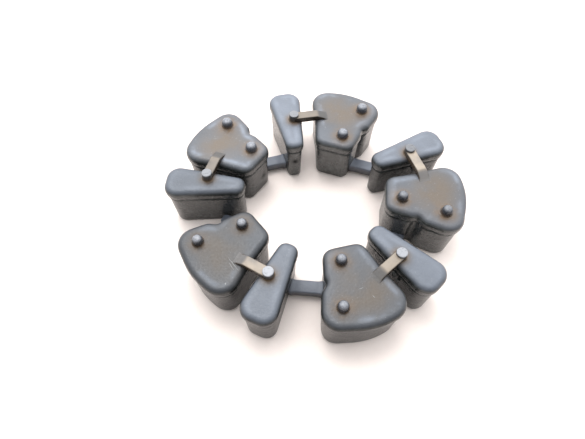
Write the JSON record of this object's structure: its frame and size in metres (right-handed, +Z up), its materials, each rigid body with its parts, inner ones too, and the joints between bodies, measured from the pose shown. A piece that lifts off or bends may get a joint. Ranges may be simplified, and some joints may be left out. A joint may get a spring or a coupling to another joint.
{
  "type": "cush drive damper ring",
  "caption": "Loose ring of moulded rubber blocks, joined by straps and webs, that cushions the sprocket drive in a motorcycle rear hub.",
  "frame": {"origin": "centre of the ring's outline on the surface it stands on", "axes": "+Z up along the hub axis, from the hub towards the sprocket carrier; +X and +Y across the ring as it lies"},
  "size_m": [0.1398, 0.1282, 0.0302],
  "materials": {
    "drive_rubber": "moulded rubber, satin cap with dusty brown middle, rougher greenish sides",
    "coast_rubber": "moulded rubber, satin cap, rougher greenish sides",
    "pip_rubber": "rubber pips, shiny on top, rust stain round the foot",
    "post_rubber": "rubber post with a worn pale end, dark sides",
    "strap_rubber": "rubber strap, dusty tan on top, dark sides",
    "web_rubber": "smooth grey rubber web"
  },
  "bodies": {
    "drive_a": {"drive_block_a": "drive_rubber", "pip_inner_a": "pip_rubber", "pip_outer_a": "pip_rubber", "bridge_strap_a": "strap_rubber", "floor_web_ab": "web_rubber"},
    "coast_a": {"coast_block_a": "coast_rubber", "stop_post_a": "post_rubber"},
    "drive_b": {"drive_block_b": "drive_rubber", "pip_inner_b": "pip_rubber", "pip_outer_b": "pip_rubber", "bridge_strap_b": "strap_rubber", "floor_web_bc": "web_rubber"},
    "coast_b": {"coast_block_b": "coast_rubber", "stop_post_b": "post_rubber"},
    "drive_c": {"drive_block_c": "drive_rubber", "pip_inner_c": "pip_rubber", "pip_outer_c": "pip_rubber", "bridge_strap_c": "strap_rubber", "floor_web_cd": "web_rubber"},
    "coast_c": {"coast_block_c": "coast_rubber", "stop_post_c": "post_rubber"},
    "drive_d": {"drive_block_d": "drive_rubber", "pip_inner_d": "pip_rubber", "pip_outer_d": "pip_rubber", "bridge_strap_d": "strap_rubber", "floor_web_de": "web_rubber"},
    "coast_d": {"coast_block_d": "coast_rubber", "stop_post_d": "post_rubber"},
    "drive_e": {"drive_block_e": "drive_rubber", "pip_inner_e": "pip_rubber", "pip_outer_e": "pip_rubber", "bridge_strap_e": "strap_rubber", "floor_web_ea": "web_rubber"},
    "coast_e": {"coast_block_e": "coast_rubber", "stop_post_e": "post_rubber"}
  },
  "joints": [
    {"name": "strap_flex_b", "type": "hinge", "parent": "drive_b", "child": "coast_b", "pos_m": [0.04602, 0.02201, 0.028], "axis": [0, 0, 1], "range_deg": [-7, 7], "stiffness_Nm_per_rad": 0.012},
    {"name": "web_flex_ab", "type": "hinge", "parent": "coast_b", "child": "drive_a", "pos_m": [0.03488, 0.02834, 0.0035], "axis": [0, 0, 1], "range_deg": [-7, 7], "stiffness_Nm_per_rad": 0.03},
    {"name": "strap_flex_a", "type": "hinge", "parent": "drive_a", "child": "coast_a", "pos_m": [-0.0094, 0.04369, 0.028], "axis": [0, 0, 1], "range_deg": [-7, 7], "stiffness_Nm_per_rad": 0.012},
    {"name": "web_flex_ea", "type": "hinge", "parent": "coast_a", "child": "drive_e", "pos_m": [-0.0178, 0.03403, 0.0035], "axis": [0, 0, 1], "range_deg": [-7, 7], "stiffness_Nm_per_rad": 0.03},
    {"name": "strap_flex_e", "type": "hinge", "parent": "drive_e", "child": "coast_e", "pos_m": [-0.04956, 0.00743, 0.028], "axis": [0, 0, 1], "range_deg": [-7, 7], "stiffness_Nm_per_rad": 0.012},
    {"name": "web_flex_bc", "type": "hinge", "parent": "drive_b", "child": "coast_c", "pos_m": [0.03656, -0.02023, 0.0035], "axis": [0, 0, 1], "range_deg": [-7, 7], "stiffness_Nm_per_rad": 0.03},
    {"name": "strap_flex_c", "type": "hinge", "parent": "coast_c", "child": "drive_c", "pos_m": [0.03502, -0.03295, 0.028], "axis": [0, 0, 1], "range_deg": [-7, 7], "stiffness_Nm_per_rad": 0.012},
    {"name": "web_flex_cd", "type": "hinge", "parent": "drive_c", "child": "coast_d", "pos_m": [-0.00756, -0.03809, 0.0035], "axis": [0, 0, 1], "range_deg": [-7, 7], "stiffness_Nm_per_rad": 0.03},
    {"name": "strap_flex_d", "type": "hinge", "parent": "coast_d", "child": "drive_d", "pos_m": [-0.01996, -0.04134, 0.028], "axis": [0, 0, 1], "range_deg": [-7, 7], "stiffness_Nm_per_rad": 0.012}
  ],
  "couplings": [
    {"joint": "web_flex_ab", "follows": "strap_flex_b", "ratio": -1},
    {"joint": "strap_flex_a", "follows": "strap_flex_b", "ratio": 1},
    {"joint": "web_flex_ea", "follows": "strap_flex_b", "ratio": -1},
    {"joint": "strap_flex_e", "follows": "strap_flex_b", "ratio": 1},
    {"joint": "web_flex_bc", "follows": "strap_flex_b", "ratio": 1},
    {"joint": "strap_flex_c", "follows": "strap_flex_b", "ratio": -1},
    {"joint": "web_flex_cd", "follows": "strap_flex_b", "ratio": 1},
    {"joint": "strap_flex_d", "follows": "strap_flex_b", "ratio": -1}
  ]
}
